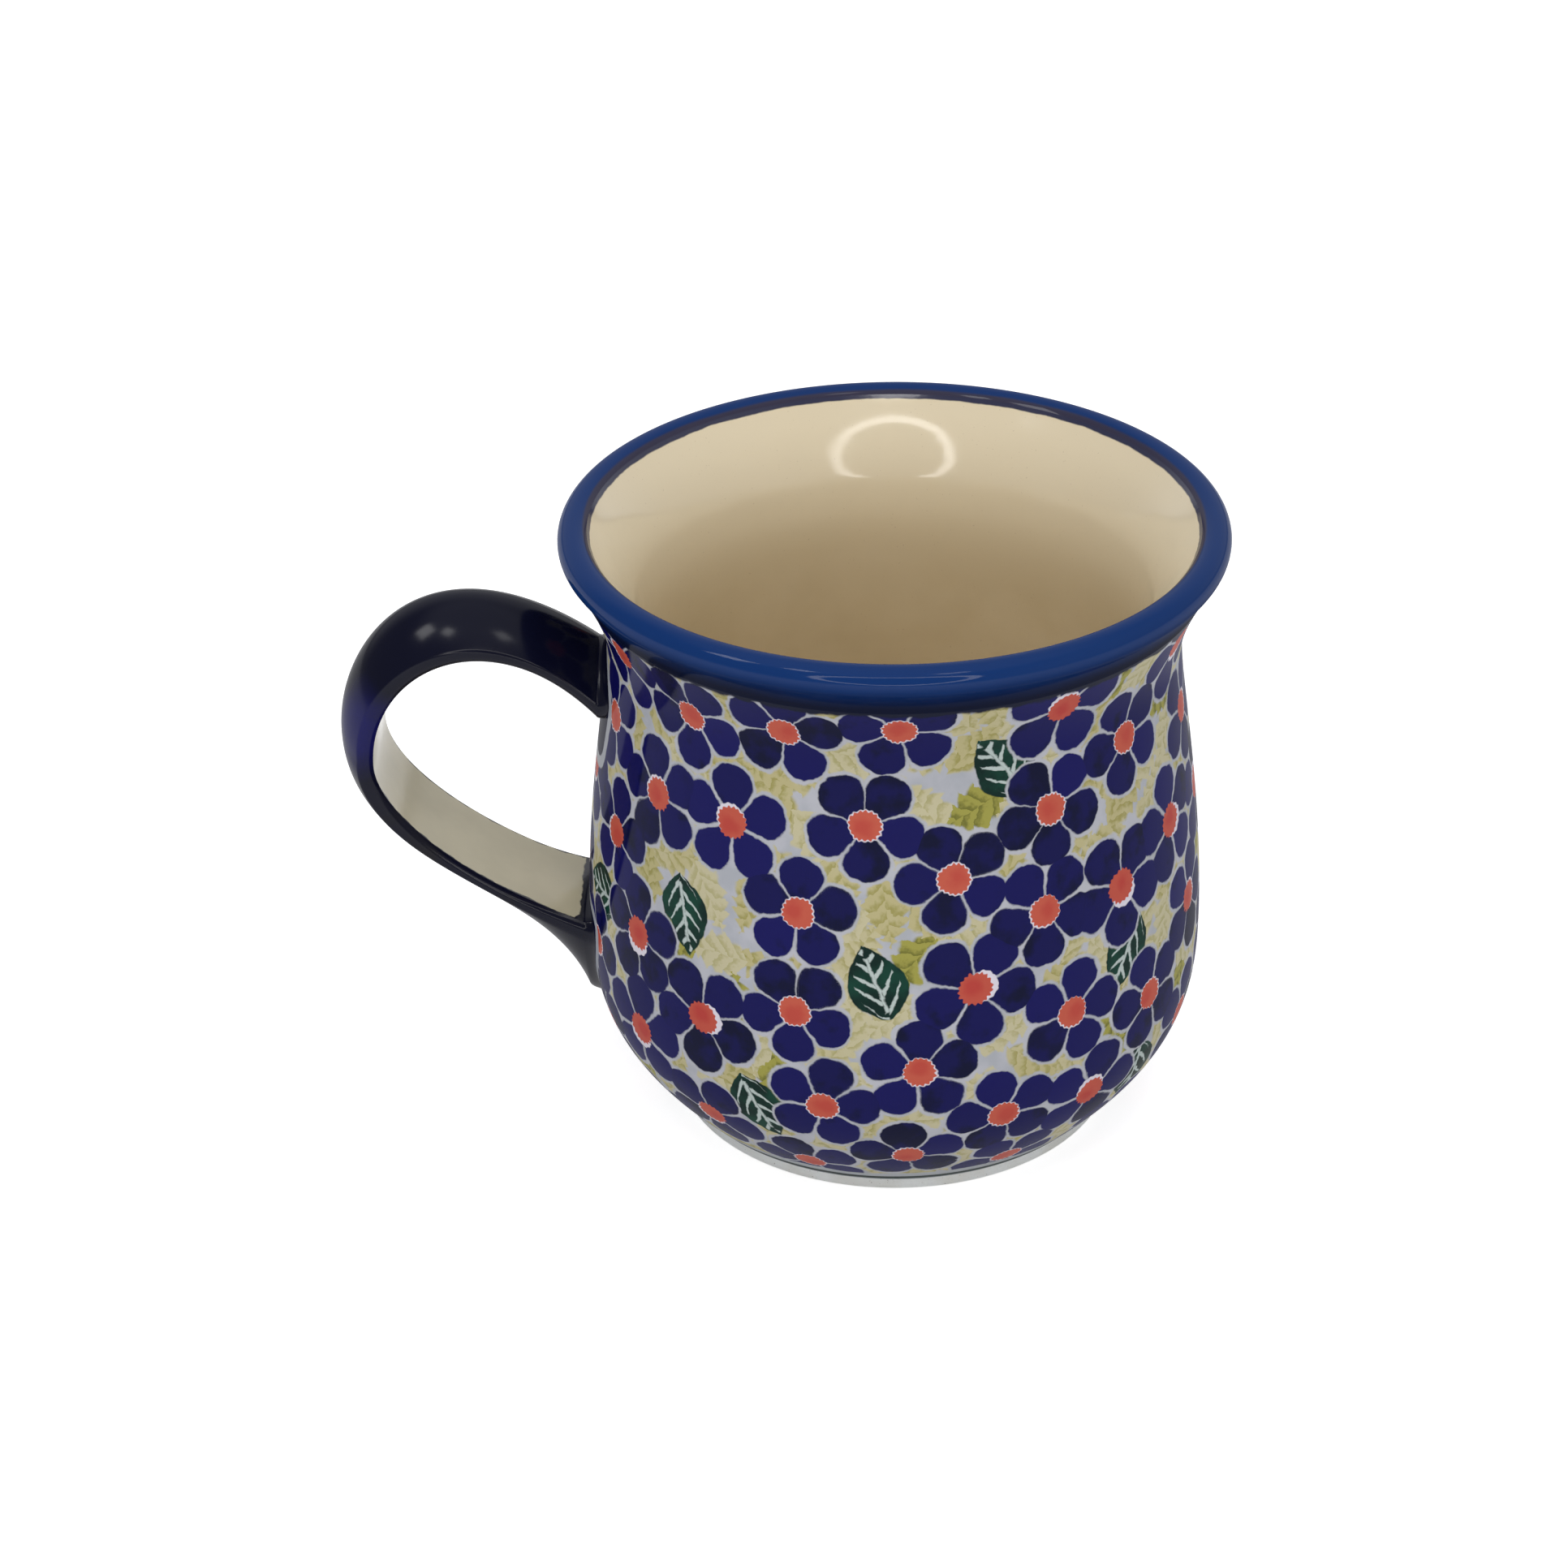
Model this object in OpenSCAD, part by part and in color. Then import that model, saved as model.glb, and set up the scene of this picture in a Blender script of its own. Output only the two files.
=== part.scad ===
// A pot-bellied stoneware mug: a thrown cup with a flared, rounded lip and a turned foot ring, a strap handle
// luted on with slip, and the fired glaze coats that cover them. Millimetres, +Z up.
// The origin is on the cup's axis, in the plane of the foot. The handle points along -X.

/* [Cup] */
// Height from the table to the top of the lip
cup_height = 93; // [88:0.5:102]
// Outside diameter over the lip
lip_d = 95; // [90:1:102]
// Radius of the lip's rounded edge
lip_bead = 2.3; // [2:0.05:2.6]
// Outside diameter at the neck under the lip
neck_d = 82.3; // [78:0.1:86]
// Distance from the top of the lip down to the neck
neck_drop = 18.5; // [16:0.5:21]
// Outside diameter at the widest place of the belly
belly_d = 90.6; // [86:0.2:98]
// Height of the widest place of the belly
belly_height = 28.3; // [25:0.1:34]
// Thickness of the glazed wall
wall = 5; // [4:0.1:6]
// Thickness of the floor
floor_t = 6; // [4.5:0.5:8]
// Radius of the flat middle of the floor, inside
floor_flat = 16; // [10:1:22]

/* [Foot] */
// Outside diameter where the glaze starts above the foot
foot_d = 66.5; // [60:0.5:70]
// Height of the bare clay band above the table
foot_band = 2; // [1.4:0.1:3.6]
// Angle of the wall as it leaves the foot, from level
foot_flare = 46.5; // [40:0.5:54]
// Width of the ring that stands on the table
foot_ring = 4.5; // [3:0.5:7]
// Bevel on the outer edge of the ring
foot_bevel = 0.6; // [0.3:0.1:1]
// Depth of the recess inside the ring
foot_recess = 2; // [1.2:0.1:3]
// How far the recess draws in towards its ceiling
recess_draft = 1; // [0.4:0.1:2]

/* [Glaze] */
// Thickness of a fired coat of glaze
coat = 0.35; // [0.2:0.05:0.5]
// Depth of the cobalt rim band below the top of the lip
rim_band = 7.5; // [5:0.5:10]

/* [Handle] */
// Room for the fingers between the belly and the grip face
finger_room = 29.9; // [24:0.1:36]
// Thickness of the strap at its outermost place
strap_t = 5.3; // [4.4:0.1:7]
// Thickness of the strap's rounded edges
edge_t = 2.3; // [1.7:0.1:2.7]
// How far the grip face stops short of the strap's edges
edge_round = 0.9; // [0.4:0.1:1.4]
// Width of the strap at the neck joint
strap_top_w = 16.7; // [14:0.1:20]
// Width of the strap at its outermost place
strap_mid_w = 16.8; // [14:0.1:20]
// Width of the strap at the belly joint
strap_low_w = 18.3; // [15:0.1:22]
// Height at which the grip face is outermost
bend_height = 56.4; // [52:0.1:61]
// How much higher the crown is outermost
crown_lift = 2.7; // [1:0.1:4]
// Distance from the top of the lip down to the crown of the neck joint
neck_joint_drop = 20; // [18:0.1:22]
// Height of the neck joint, from grip face to crown
neck_joint_h = 8; // [6.5:0.1:10]
// Height of the crown of the belly joint above the table
belly_joint_low = 15.1; // [13:0.1:18]
// Height of the belly joint, from crown to grip face
belly_joint_h = 15.8; // [13:0.1:18]
// How much wider the strap spreads where it is smoothed onto the wall
joint_spread = 1.6; // [0.8:0.1:3]
// Thinnest layer of slip between a joint and the wall
slip_t = 0.4; // [0.2:0.1:1]

/* [Curves] */
// How far the wall holds its flare above the foot
foot_lead = 14.4; // [11:0.1:17]
// How far the belly stays upright below its widest place
belly_lead_down = 10.8; // [8:0.1:14]
// How far the belly stays upright above its widest place
belly_lead_up = 20.4; // [15:0.1:25]
// How far the neck stays upright below its narrowest place
neck_lead_down = 6.9; // [5:0.1:11]
// How far the neck stays upright above its narrowest place
neck_lead_up = 5.4; // [3.5:0.1:7]
// How far the flare runs straight before the lip
lip_lead = 1.5; // [1:0.1:3]
// How far the inside runs on from the lip's edge
flare_lead = 3.5; // [2:0.1:5]
// How far the inside stays upright above its narrowest place
throat_lead = 9.5; // [7:0.1:11]
// How far the inside stays upright below the belly
basin_lead = 15; // [10:0.5:18]
// How far the inside stays level beyond the flat of the floor
floor_lead = 16; // [10:0.5:18]
// Angle at which the grip face leaves the neck, from level
grip_rise = 46.3; // [40:0.1:53]
// How far the grip face holds that angle
grip_rise_lead = 23.3; // [19:0.1:27]
// How far the grip face stays upright above the bend
grip_lead_up = 14.6; // [11:0.1:18]
// How far the grip face stays upright below the bend
grip_lead_down = 8.5; // [6:0.1:11]
// Angle at which the grip face reaches the belly, from level
grip_fall = 18.7; // [12:0.1:26]
// How far the grip face holds that angle
grip_fall_lead = 15.4; // [12:0.1:19]
// Angle at which the crown leaves the neck, from level
crown_rise = 36.7; // [31:0.1:42]
// How far the crown holds that angle
crown_rise_lead = 30.3; // [26:0.1:34]
// How far the crown stays upright above the bend
crown_lead_up = 13.5; // [10:0.1:17]
// How far the crown stays upright below the bend
crown_lead_down = 20.8; // [17:0.1:24]
// Angle at which the crown reaches the belly, from level
crown_fall = 72.9; // [66:0.1:78]
// How far the crown holds that angle
crown_fall_lead = 22.5; // [18:0.1:26]

/* [Hidden] */

$fn = 128;

// Steps along each curve
wall_steps = 12;
lip_steps = 12;
rail_steps = 22;
crown_steps = 10;
spread_steps = 5;

// Where the lip's arc starts under the flare and ends inside, as angles round the bead
lip_from = -45;
lip_to = 145;

clay_colour = "#d9c9ac";
cobalt_colour = "#16255f";
navy_colour = "#0d1030";
cream_colour = "#e4d6bc";
belly_colour = "#5c5f92";

foot_r = foot_d / 2;
belly_r = belly_d / 2;
neck_r = neck_d / 2;
neck_z = cup_height - neck_drop;
floor_z = foot_recess + floor_t;
band_z = cup_height - rim_band;
bead_at = [lip_d / 2 - lip_bead, cup_height - lip_bead];

function direction(angle) = [cos(angle), sin(angle)];
function bezier(p, steps) = [for (i = [0 : steps]) let (t = i / steps, s = 1 - t)
    s * s * s * p[0] + 3 * s * s * t * p[1] + 3 * s * t * t * p[2] + t * t * t * p[3]];
function after_first(list) = [for (i = [1 : len(list) - 1]) list[i]];
function reversed(list) = [for (i = [len(list) - 1 : -1 : 0]) list[i]];
function span(list, from, to) = [for (i = [from : to]) list[i]];
function unit(v) = v / norm(v);

// The finished outside of the wall, as [radius, height], from the foot up to the underside of the lip
lip_start = bead_at + lip_bead * direction(lip_from);
wall_curve = concat(
    bezier([[foot_r, foot_band], [foot_r, foot_band] + foot_lead * direction(foot_flare),
            [belly_r, belly_height - belly_lead_down], [belly_r, belly_height]], wall_steps),
    after_first(bezier([[belly_r, belly_height], [belly_r, belly_height + belly_lead_up],
                        [neck_r, neck_z - neck_lead_down], [neck_r, neck_z]], wall_steps)),
    after_first(bezier([[neck_r, neck_z], [neck_r, neck_z + neck_lead_up],
                        lip_start - lip_lead * direction(lip_from + 90), lip_start], wall_steps)));
wall_heights = [for (p = wall_curve) [p[1], p[0]]];
function wall_r(z) = lookup(z, wall_heights);

below_band = [for (p = wall_curve) if (p[1] < band_z) p];
outside = concat(below_band, [[wall_r(band_z), band_z]], [for (p = wall_curve) if (p[1] > band_z) p]);
lip = [for (i = [1 : lip_steps]) bead_at + lip_bead * direction(lip_from + (lip_to - lip_from) * i / lip_steps)];

// The finished inside, from the lip down to the middle of the floor
inside_neck = [neck_r - wall, neck_z];
inside_belly = [belly_r - wall, belly_height];
lip_end = lip[lip_steps - 1];
inside = concat(
    after_first(bezier([lip_end, lip_end + flare_lead * direction(lip_to + 90),
                        inside_neck + [0, throat_lead], inside_neck], wall_steps)),
    after_first(bezier([inside_neck, inside_neck - [0, neck_lead_down],
                        inside_belly + [0, belly_lead_up], inside_belly], wall_steps)),
    after_first(bezier([inside_belly, inside_belly - [0, basin_lead],
                        [floor_flat + floor_lead, floor_z], [floor_flat, floor_z]], wall_steps)),
    [[0, floor_z]]);

// One line over the whole cup, and the same line sunk into the clay by the thickness of a coat
finished = concat(outside, lip, inside);
last = len(finished) - 1;
function along(i) = unit(finished[min(i + 1, last)] - finished[max(i - 1, 0)]);
clay = [for (i = [0 : last]) finished[i] + coat * [-along(i)[1], along(i)[0]]];
band_at = len(below_band);
lining_at = len(outside) + lip_steps - 1;

// The foot, turned from the same clay
ring_r = clay[0][0];
ring_in = ring_r - foot_bevel - foot_ring;
recess_r = ring_in - recess_draft;
coat_edge_r = recess_r + recess_draft * coat / foot_recess;
foot_line = [[0, foot_recess], [recess_r, foot_recess], [ring_in, 0], [ring_r - foot_bevel, 0],
             [ring_r, foot_bevel]];

// The handle lies between two rails, as [distance from the axis, height]: its grip face and its crown
neck_crown_z = cup_height - neck_joint_drop;
neck_grip_z = neck_crown_z - neck_joint_h;
belly_crown_z = belly_joint_low;
belly_grip_z = belly_joint_low + belly_joint_h;
function seat(low, high) = slip_t + max(wall_r(low), wall_r(high),
    max([for (p = wall_curve) if (p[1] > low && p[1] < high) p[0]]));
neck_seat = seat(neck_grip_z, neck_crown_z);
belly_seat = seat(belly_crown_z, belly_grip_z);
grip_bend = [belly_r + finger_room, bend_height];
crown_bend = grip_bend + [strap_t, crown_lift];
function rail(start, rise, rise_lead, bend, lead_up, lead_down, end, fall, fall_lead) = concat(
    bezier([start, start + rise_lead * direction(rise), bend + [0, lead_up], bend], rail_steps),
    after_first(bezier([bend, bend - [0, lead_down], end + fall_lead * direction(fall), end], rail_steps)));
grip_rail = rail([neck_seat, neck_grip_z], grip_rise, grip_rise_lead, grip_bend, grip_lead_up, grip_lead_down,
                 [belly_seat, belly_grip_z], grip_fall, grip_fall_lead);
crown_rail = rail([neck_seat, neck_crown_z], crown_rise, crown_rise_lead, crown_bend, crown_lead_up,
                  crown_lead_down, [belly_seat, belly_crown_z], crown_fall, crown_fall_lead);
rings = 2 * rail_steps;

function eased(t) = (1 - cos(180 * t)) / 2;
function spread(i) = joint_spread * pow(max(0, 1 - min(i, rings - i) / spread_steps), 2);
function strap_w(i) = spread(i) + (i < rail_steps
    ? strap_top_w + (strap_mid_w - strap_top_w) * eased(i / rail_steps)
    : strap_mid_w + (strap_low_w - strap_mid_w) * eased(i / rail_steps - 1));
function strap_depth(i) = norm(crown_rail[i] - grip_rail[i]);

// The strap's section, as [across, out from the grip face], sunk by inset: its domed back with both edges, which
// the flat grip face closes
function edge_points(half, side, inset) = [
    [side * (half - edge_round), inset],
    [side * (half - edge_round / 4), inset + (edge_t - inset) / 3]];
function back_line(w, depth, inset) = let (half = w / 2 - inset) concat(
    edge_points(half, 1, inset),
    [for (i = [0 : crown_steps]) let (v = 1 - 2 * i / crown_steps)
        [v * half, edge_t + (depth - inset - edge_t) * (1 - v * v)]],
    reversed(edge_points(half, -1, inset)));
function grip_line(w, inset) = let (half = w / 2 - inset - edge_round) [[-half, inset], [half, inset]];
function back_coat_section(w, depth) = concat(back_line(w, depth, 0), reversed(back_line(w, depth, coat)));
function grip_coat_section(w) = concat(grip_line(w, 0), reversed(grip_line(w, coat)));
back_points = len(back_line(strap_mid_w, strap_t, 0));
grip_points = len(grip_line(strap_mid_w, 0));
function placed(i, section) = let (up = unit(crown_rail[i] - grip_rail[i]))
    [for (p = section) let (q = grip_rail[i] + p[1] * up) [-q[0], p[0], q[1]]];

// A closed skin over rings of equal length. From the turn on, a ring runs back along a line that another skin
// shares, so its facets are split the other way and the two skins fit. Each flat end is a strip of facets between
// the first half of its ring and the second half, which holds for a coat's thin, bent ring too.
module loft(loops, turn) {
    m = len(loops[0]);
    n = len(loops);
    function facets(a, b, c, d, back) = back ? [[a, b, c], [a, c, d]] : [[a, b, d], [b, c, d]];
    sides = [for (i = [0 : n - 2], j = [0 : m - 1]) let (k = (j + 1) % m)
        each facets(i * m + j, i * m + k, i * m + m + k, i * m + m + j, j >= turn)];
    strip = [for (j = [0 : ceil(m / 2) - 2]) let (k = m - 1 - j)
        j + 2 == k ? [j, j + 1, k] : [j, j + 1, k - 1, k]];
    near_end = [for (face = strip) reversed(face)];
    far_end = [for (face = strip) [for (j = face) (n - 1) * m + j]];
    polyhedron(points = [for (loop = loops) each loop], faces = concat(sides, near_end, far_end));
}

// The run of a joint, from the flat end of the strap to the cup's axis
module joint_run(end, grip_z, out, from) {
    footprint = [for (p = back_line(strap_w(end), strap_depth(end), 0)) [p[0], grip_z + out * p[1]]];
    translate([-from, 0, 0]) rotate([90, 0, 90]) linear_extrude(height = from) polygon(footprint);
}

module neck_joint_run() {
    joint_run(0, neck_grip_z, 1, neck_seat);
}

module belly_joint_run() {
    joint_run(rings, belly_grip_z, -1, belly_seat);
}

// The clay of the cup up to the rim band, without its hollow
module clay_below_band() {
    rotate_extrude() polygon(concat([[0, 0], [ring_r, 0]], span(clay, 0, band_at), [[0, band_z]]));
}

// A coat of glaze over the stretch of the cup's line from one point to another
module coat_between(from, to) {
    rotate_extrude() polygon(concat(span(finished, from, to), reversed(span(clay, from, to))));
}

module stoneware_body() {
    color(clay_colour) rotate_extrude() polygon(concat(foot_line, clay));
}

module handle_strap() {
    color(clay_colour)
        loft([for (i = [0 : rings]) placed(i, back_line(strap_w(i), strap_depth(i), coat))], back_points);
}

module upper_slip_joint() {
    color(navy_colour) difference() {
        neck_joint_run();
        clay_below_band();
    }
}

module lower_slip_joint() {
    color(navy_colour) difference() {
        belly_joint_run();
        clay_below_band();
    }
}

module belly_glaze() {
    color(belly_colour) difference() {
        coat_between(0, band_at);
        neck_joint_run();
        belly_joint_run();
    }
}

module rim_glaze() {
    color(cobalt_colour) coat_between(band_at, lining_at);
}

module lining_glaze() {
    color(cream_colour) coat_between(lining_at, last);
}

module base_glaze() {
    color(cream_colour) rotate_extrude()
        polygon([[0, foot_recess], [recess_r, foot_recess], [coat_edge_r, foot_recess - coat],
                 [0, foot_recess - coat]]);
}

module handle_cobalt_glaze() {
    color(navy_colour)
        loft([for (i = [0 : rings]) placed(i, back_coat_section(strap_w(i), strap_depth(i)))], back_points);
}

module grip_glaze() {
    color(cream_colour)
        loft([for (i = [0 : rings]) placed(i, grip_coat_section(strap_w(i)))], grip_points);
}

stoneware_body();
handle_strap();
upper_slip_joint();
lower_slip_joint();
belly_glaze();
rim_glaze();
lining_glaze();
base_glaze();
handle_cobalt_glaze();
grip_glaze();
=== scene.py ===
import math

import bpy
import numpy as np
from mathutils import Matrix, Vector
from mathutils.kdtree import KDTree


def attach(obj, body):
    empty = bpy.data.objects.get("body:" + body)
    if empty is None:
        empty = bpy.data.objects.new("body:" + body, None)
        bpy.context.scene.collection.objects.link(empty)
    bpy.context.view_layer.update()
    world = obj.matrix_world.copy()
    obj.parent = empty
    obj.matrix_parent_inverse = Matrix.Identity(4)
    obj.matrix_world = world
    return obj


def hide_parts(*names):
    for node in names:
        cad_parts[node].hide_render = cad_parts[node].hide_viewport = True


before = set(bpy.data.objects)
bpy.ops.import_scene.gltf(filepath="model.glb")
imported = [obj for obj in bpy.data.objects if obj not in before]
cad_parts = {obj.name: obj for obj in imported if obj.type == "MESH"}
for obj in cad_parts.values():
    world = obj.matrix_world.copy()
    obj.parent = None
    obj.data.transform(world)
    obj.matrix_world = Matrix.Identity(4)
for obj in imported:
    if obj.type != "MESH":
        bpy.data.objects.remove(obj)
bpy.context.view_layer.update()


# The cup, thrown on a wheel in one piece of buff stoneware and turned on its foot when leather hard. The clay
# stays bare only on the foot band, on the ring that it stands on and on the wall of the recess inside it.
mm = 0.001
cup_height = 93
lip_d = 95
lip_bead = 2.3
neck_d = 82.3
neck_drop = 18.5
belly_d = 90.6
belly_height = 28.3
wall = 5
floor_t = 6
floor_flat = 16
foot_d = 66.5
foot_band = 2
foot_flare = 46.5
foot_ring = 4.5
foot_bevel = 0.6
foot_recess = 2
recess_draft = 1
coat = 0.35
foot_lead = 14.4
belly_lead_down = 10.8
belly_lead_up = 20.4
neck_lead_down = 6.9
neck_lead_up = 5.4
lip_lead = 1.5
flare_lead = 3.5
throat_lead = 9.5
basin_lead = 15
floor_lead = 16
lip_from = -45
lip_to = 145
curve_steps = 48
lip_steps = 24
clay_step = 2.4
clay_turns = 144
clay_pale = (0.88, 0.91, 0.91, 1)
clay_warm = (0.81, 0.82, 0.79, 1)
clay_speck = (0.20, 0.14, 0.09, 1)
grog_scale = 2600
patch_scale = 160
speck_scale = 4200
speck_share = 0.7
turning_scale = 9000
turning_share = 0.25
turning_wander = 2
clay_relief = 0.00006
tiny = 1e-6


def toward(angle):
    """The direction of an angle in degrees, in the plane of the cup's outline."""
    return np.array([math.cos(math.radians(angle)), math.sin(math.radians(angle))])


def bezier(start, lead_out, lead_in, end, steps):
    """Points along a curve that leaves its start for lead_out and comes to its end from lead_in."""
    t = np.linspace(0, 1, steps + 1)[:, None]
    s = 1 - t
    return s**3 * start + 3 * s * s * t * lead_out + 3 * s * t * t * lead_in + t**3 * end


def evenly(line, step):
    """The same line with its points about one step apart."""
    run = np.append(0, np.cumsum(np.linalg.norm(np.diff(line, axis=0), axis=1)))
    spots = np.linspace(0, run[-1], max(2, round(run[-1] / step)) + 1)
    return np.column_stack([np.interp(spots, run, line[:, k]) for k in range(line.shape[1])])


def sunk(line, depth):
    """A line of the outline moved into the clay by a depth."""
    along = np.gradient(line, axis=0)
    along /= np.linalg.norm(along, axis=1)[:, None]
    return line + depth * np.column_stack([-along[:, 1], along[:, 0]])


foot_edge = np.array([foot_d / 2, foot_band])
belly_at = np.array([belly_d / 2, belly_height])
neck_at = np.array([neck_d / 2, cup_height - neck_drop])
bead_at = np.array([lip_d / 2 - lip_bead, cup_height - lip_bead])
up = np.array([0, 1])
lip = np.array([bead_at + lip_bead * toward(a) for a in np.linspace(lip_from, lip_to, lip_steps + 1)])
wall_line = np.vstack([
    bezier(foot_edge, foot_edge + foot_lead * toward(foot_flare), belly_at - belly_lead_down * up, belly_at,
           curve_steps),
    bezier(belly_at, belly_at + belly_lead_up * up, neck_at - neck_lead_down * up, neck_at, curve_steps)[1:],
    bezier(neck_at, neck_at + neck_lead_up * up, lip[0] - lip_lead * toward(lip_from + 90), lip[0],
           curve_steps)[1:]])
inside_neck = neck_at - [wall, 0]
inside_belly = belly_at - [wall, 0]
floor_edge = np.array([floor_flat, foot_recess + floor_t])
hollow_line = np.vstack([
    bezier(lip[-1], lip[-1] + flare_lead * toward(lip_to + 90), inside_neck + throat_lead * up, inside_neck,
           curve_steps),
    bezier(inside_neck, inside_neck - neck_lead_down * up, inside_belly + belly_lead_up * up, inside_belly,
           curve_steps)[1:],
    bezier(inside_belly, inside_belly - basin_lead * up, floor_edge + [floor_lead, 0], floor_edge,
           curve_steps)[1:],
    [[0, floor_edge[1]]]])
finished = np.vstack([wall_line, lip[1:], hollow_line[1:]])
clay_line = sunk(finished, coat)
clay_line[-1, 0] = 0
ring_r = clay_line[0, 0]
ring_in = ring_r - foot_bevel - foot_ring
recess_r = ring_in - recess_draft
foot_line = np.array([[0, foot_recess], [recess_r, foot_recess], [ring_in, 0], [ring_r - foot_bevel, 0],
                      [ring_r - foot_bevel / 4, foot_bevel / 4], [ring_r, foot_bevel]])


def piece_from(name, points, faces, crease):
    """A piece from millimetre points, smooth except over edges that turn more than the crease angle."""
    mesh = bpy.data.meshes.new(name)
    mesh.from_pydata((np.asarray(points) * mm).tolist(), [], faces)
    mesh.shade_smooth()
    mesh.set_sharp_from_angle(angle=math.radians(crease))
    piece = bpy.data.objects.new(name, mesh)
    bpy.context.collection.objects.link(piece)
    return piece


def revolved(name, loop, turns, crease=32):
    """A closed piece of revolution about the cup's axis, from a loop of radius and height."""
    angles = np.arange(turns) * 2 * math.pi / turns
    points = []
    rows = []
    for radius, height in loop:
        first = len(points)
        if radius < tiny:
            points.append((0, 0, height))
            rows.append([first] * turns)
        else:
            points += zip(radius * np.cos(angles), radius * np.sin(angles), [height] * turns)
            rows.append(list(range(first, first + turns)))
    faces = []
    for row, following in zip(rows, rows[1:] + rows[:1]):
        for j in range(turns):
            k = (j + 1) % turns
            corners = list(dict.fromkeys([row[j], row[k], following[k], following[j]]))
            if len(corners) > 2:
                faces.append(corners)
    return piece_from(name, points, faces, crease)


def feed(node, sockets):
    """Sets each of a node's sockets to a value, or links a tone to it."""
    for name, value in sockets.items():
        if isinstance(value, Tone):
            node.id_data.links.new(value.socket, node.inputs[name])
        else:
            node.inputs[name].default_value = value


class Tone:
    """One value in the nodes of a finish. Arithmetic on it adds Math nodes."""

    def __init__(self, socket):
        self.socket = socket

    def node(self, kind, settings, sockets, output=0):
        """An output of a new node, made with its settings first and then its sockets."""
        made = self.socket.id_data.nodes.new(kind)
        for setting, value in settings.items():
            setattr(made, setting, value)
        feed(made, sockets)
        return Tone(made.outputs[output])

    def also(self, output):
        """Another output of the node that this tone comes from."""
        return Tone(self.socket.node.outputs[output])

    def worked(self, operation, *others):
        """This value put through a Math node, followed by the node's other values."""
        return self.node("ShaderNodeMath", {"operation": operation}, dict(enumerate((self, *others))))

    def __add__(self, other):
        return self.worked("ADD", other)

    def __sub__(self, other):
        return self.worked("SUBTRACT", other)

    def __rsub__(self, other):
        return self.node("ShaderNodeMath", {"operation": "SUBTRACT"}, {0: other, 1: self})

    def __mul__(self, other):
        return self.worked("MULTIPLY", other)

    def __truediv__(self, other):
        return self.worked("DIVIDE", other)

    def __pow__(self, other):
        return self.worked("POWER", other)

    def __abs__(self):
        return self.worked("ABSOLUTE")

    __radd__ = __add__
    __rmul__ = __mul__

    def least(self, other):
        return self.worked("MINIMUM", other)

    def most(self, other):
        return self.worked("MAXIMUM", other)

    def rise(self, low, high):
        """0 below low, 1 above high and eased between, or the other way round if high is the smaller."""
        return self.node("ShaderNodeMapRange", {"interpolation_type": "SMOOTHSTEP"},
                         {"Value": self, "From Min": low, "From Max": high})

    def inside(self, edge, soft):
        """1 below an edge and 0 above it, with a soft change of so much to both sides."""
        return self.rise(edge + soft, edge - soft)

    def over(self, under, top):
        """One colour laid over another, where this tone is the mask."""
        return self.node("ShaderNodeMix", {"data_type": "RGBA"}, {0: self, 6: under, 7: top}, 2)

    def mottle(self, per_metre, detail=2, output="Fac"):
        """Noise of so many lumps to the metre at this place."""
        return self.node("ShaderNodeTexNoise", {},
                         {"Vector": self, "Scale": per_metre, "Detail": detail}, output)

    def parts(self):
        """The three parts of a place or a colour."""
        x = self.node("ShaderNodeSeparateXYZ", {}, {"Vector": self}, "X")
        return x, x.also("Y"), x.also("Z")

    def relief(self, depth):
        """A normal that shows this tone as height, of so many metres."""
        return self.node("ShaderNodeBump", {}, {"Height": self, "Distance": depth, "Strength": 1}, "Normal")


def new_finish(name, sockets):
    """A material with the given constant sockets, its shader, and the place on the piece in metres."""
    material = bpy.data.materials.new(name)
    material.use_nodes = True
    nodes = material.node_tree.nodes
    feed(nodes["Principled BSDF"], sockets)
    return material, nodes["Principled BSDF"], Tone(nodes.new("ShaderNodeTexCoord").outputs["Object"])


def put_on_mug(piece, material, node):
    """Gives a piece its finish and lets it stand for a solid of the part."""
    piece.data.materials.append(material)
    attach(piece, "root")
    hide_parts(node)


bare_clay, shader, place = new_finish("bare_stoneware", {"Roughness": 0.8, "Specular IOR Level": 0.35})
grog = place.mottle(grog_scale, 4)
patches = place.mottle(patch_scale, 3).rise(0.35, 0.65)
specks = place.mottle(speck_scale, 1).rise(0.71, 0.76)
turning = (place.parts()[2] * turning_scale + patches * turning_wander).worked("SINE")
feed(shader, {"Base Color": (specks * speck_share).over(patches.over(clay_pale, clay_warm), clay_speck),
              "Normal": (grog + turning * turning_share).relief(clay_relief)})
cup_loop = np.vstack([foot_line, evenly(clay_line, clay_step)])
put_on_mug(revolved("thrown_cup", cup_loop, clay_turns), bare_clay, "stoneware_body")


# The lining, clear glaze poured into the cup and out again over the cream clay. It meets the painted lip on
# the inside of the bead and shows the soft rings of throwing. Its cream is painted lighter towards the lip,
# as painted light that falls in at the mouth, and darker further down.
lining_turns = 192
lining_step = 0.7
ridge_depth = 11.9
ridge_above = 5.5
ridge_below = 4.5
ridge_t = 0.16
painted_lit_from = 58
painted_lit_to = 88
painted_lit_uneven = 6
run_from = 0.65
run_to = 0.45
run_uneven = 0.4
cloud_scale = 55
fleck_scale = 3000
fleck_share = 0.35
throwing_scale = 1150
throwing_share = 0.35
throwing_wander = 3
run_scale = 260
ripple_scale = 420
ripple_share = 0.8
lining_relief = 0.00002
lining_rough = 0.09
lining_rougher = 0.05
cream_painted_lit = (0.83, 0.725, 0.52, 1)
cream_light = (0.76, 0.645, 0.44, 1)
cream_deep = (0.69, 0.57, 0.365, 1)
lining_cobalt = (0.030, 0.032, 0.075, 1)
cream_fleck = (0.42, 0.31, 0.19, 1)

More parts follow.
